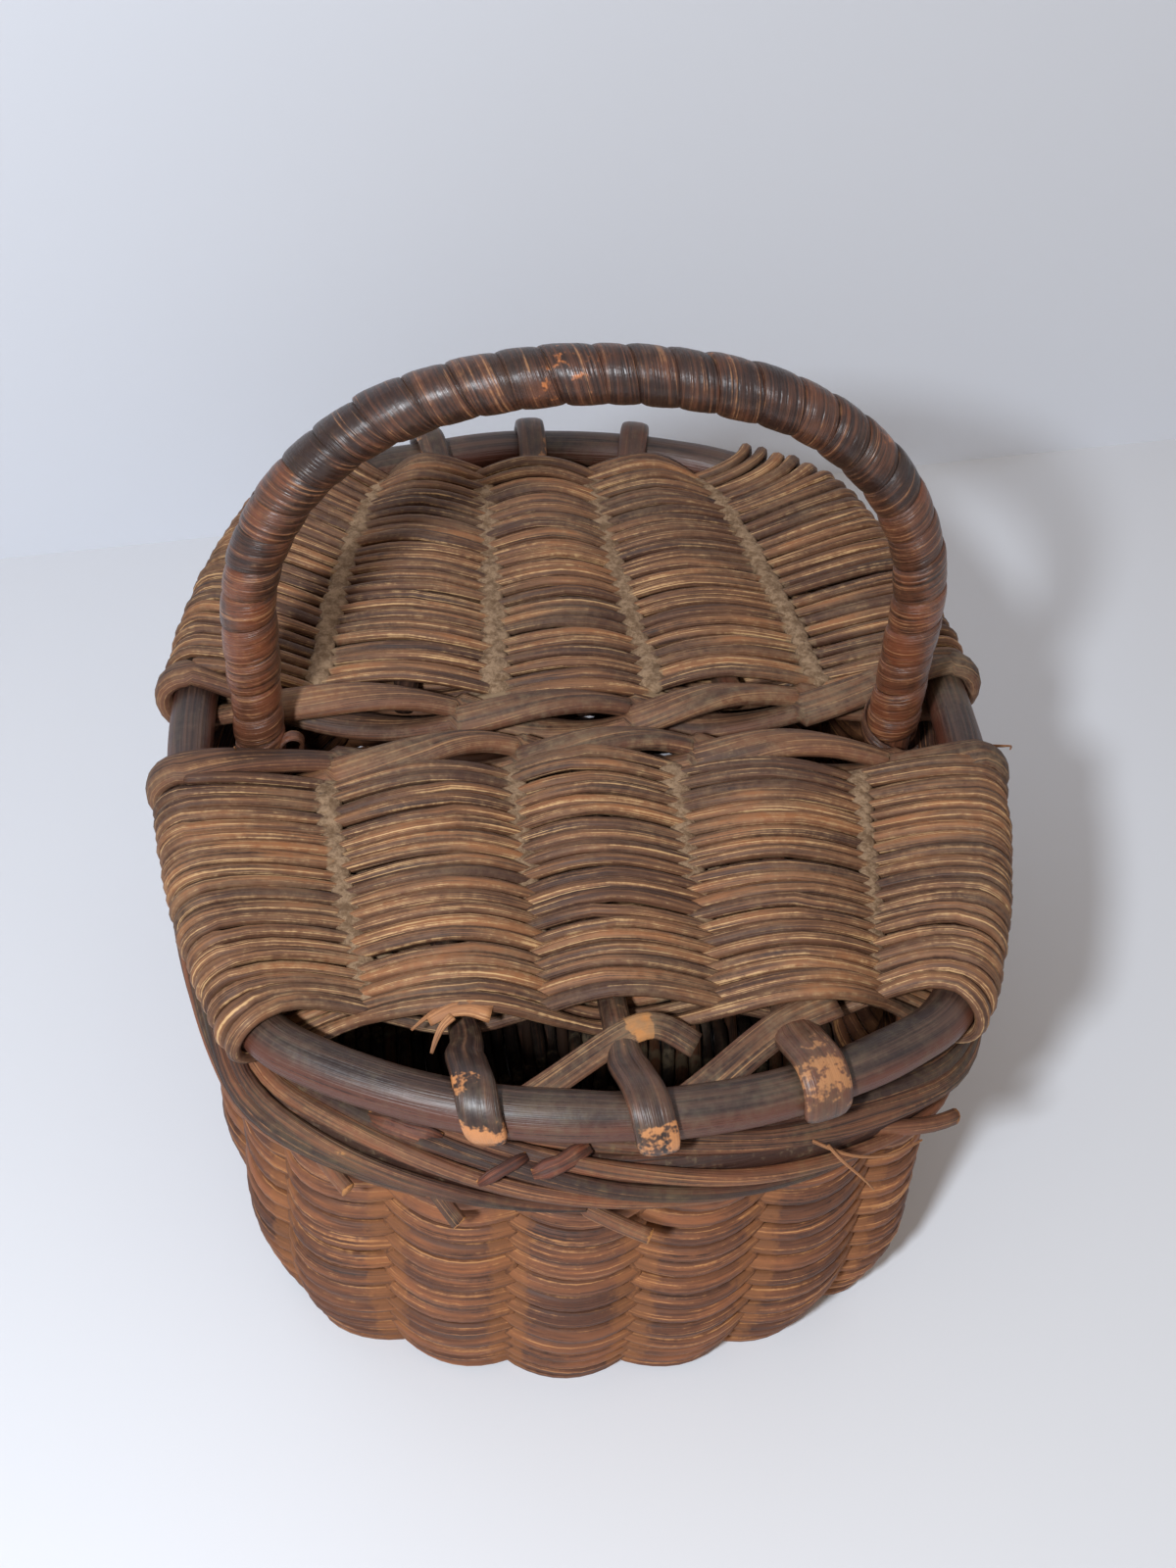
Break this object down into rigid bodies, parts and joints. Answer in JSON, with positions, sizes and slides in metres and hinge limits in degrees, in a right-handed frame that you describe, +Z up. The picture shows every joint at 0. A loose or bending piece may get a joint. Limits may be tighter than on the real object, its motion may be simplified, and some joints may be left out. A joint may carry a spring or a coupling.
{
  "type": "wicker fishing creel",
  "caption": "Oval willow creel: rounded woven tub, rolled border, wound bow handle and a two-part woven lid on one hoop that slides up the bow.",
  "frame": {"origin": "centre of the base, on the surface that the creel stands on", "axes": "+Z up, +Y along the long way of the creel towards its rear, +X to the right seen from the front"},
  "size_m": [0.2292, 0.2824, 0.254],
  "materials": {
    "wall_willow": "aged reddish-brown willow, matt and dusty",
    "stick_willow": "aged brown willow rods, matt",
    "border_willow": "thick aged willow rods, matt with rubbed ridges",
    "worn_willow": "willow rods with worn orange-brown ends",
    "bow_wood": "dark brown willow rod",
    "winding_skein": "smoked brown split willow, satin gloss",
    "tie_skein": "light brown split willow",
    "hoop_wood": "dark grey-brown rod, worn and matt",
    "lid_willow": "aged grey-brown willow, matt with dust in the hollows"
  },
  "bodies": {
    "basket": {"base_long_sticks": "stick_willow", "base_cross_sticks": "stick_willow", "base_weave": "wall_willow", "side_stakes": "stick_willow", "side_weave": "wall_willow", "border_skirt_rod": "border_willow", "border_outer_rod": "border_willow", "border_inner_rod": "border_willow", "border_top_rod": "border_willow", "border_cut_ends": "worn_willow", "handle_bow": "bow_wood", "handle_winding": "winding_skein", "handle_tie_left": "tie_skein", "handle_tie_right": "tie_skein"},
    "lid": {"lid_hoop": "hoop_wood", "front_stake_left": "worn_willow", "front_stake_middle": "worn_willow", "front_stake_right": "worn_willow", "rear_stake_left": "worn_willow", "rear_stake_middle": "worn_willow", "rear_stake_right": "worn_willow", "front_weave": "lid_willow", "rear_weave": "lid_willow", "front_edge_twist": "lid_willow", "rear_edge_twist": "lid_willow", "front_end_strips": "lid_willow"}
  },
  "joints": [
    {"name": "lid_slide", "type": "slide", "parent": "basket", "child": "lid", "axis": [0, 0, 1], "range_m": [0, 0.06]}
  ]
}
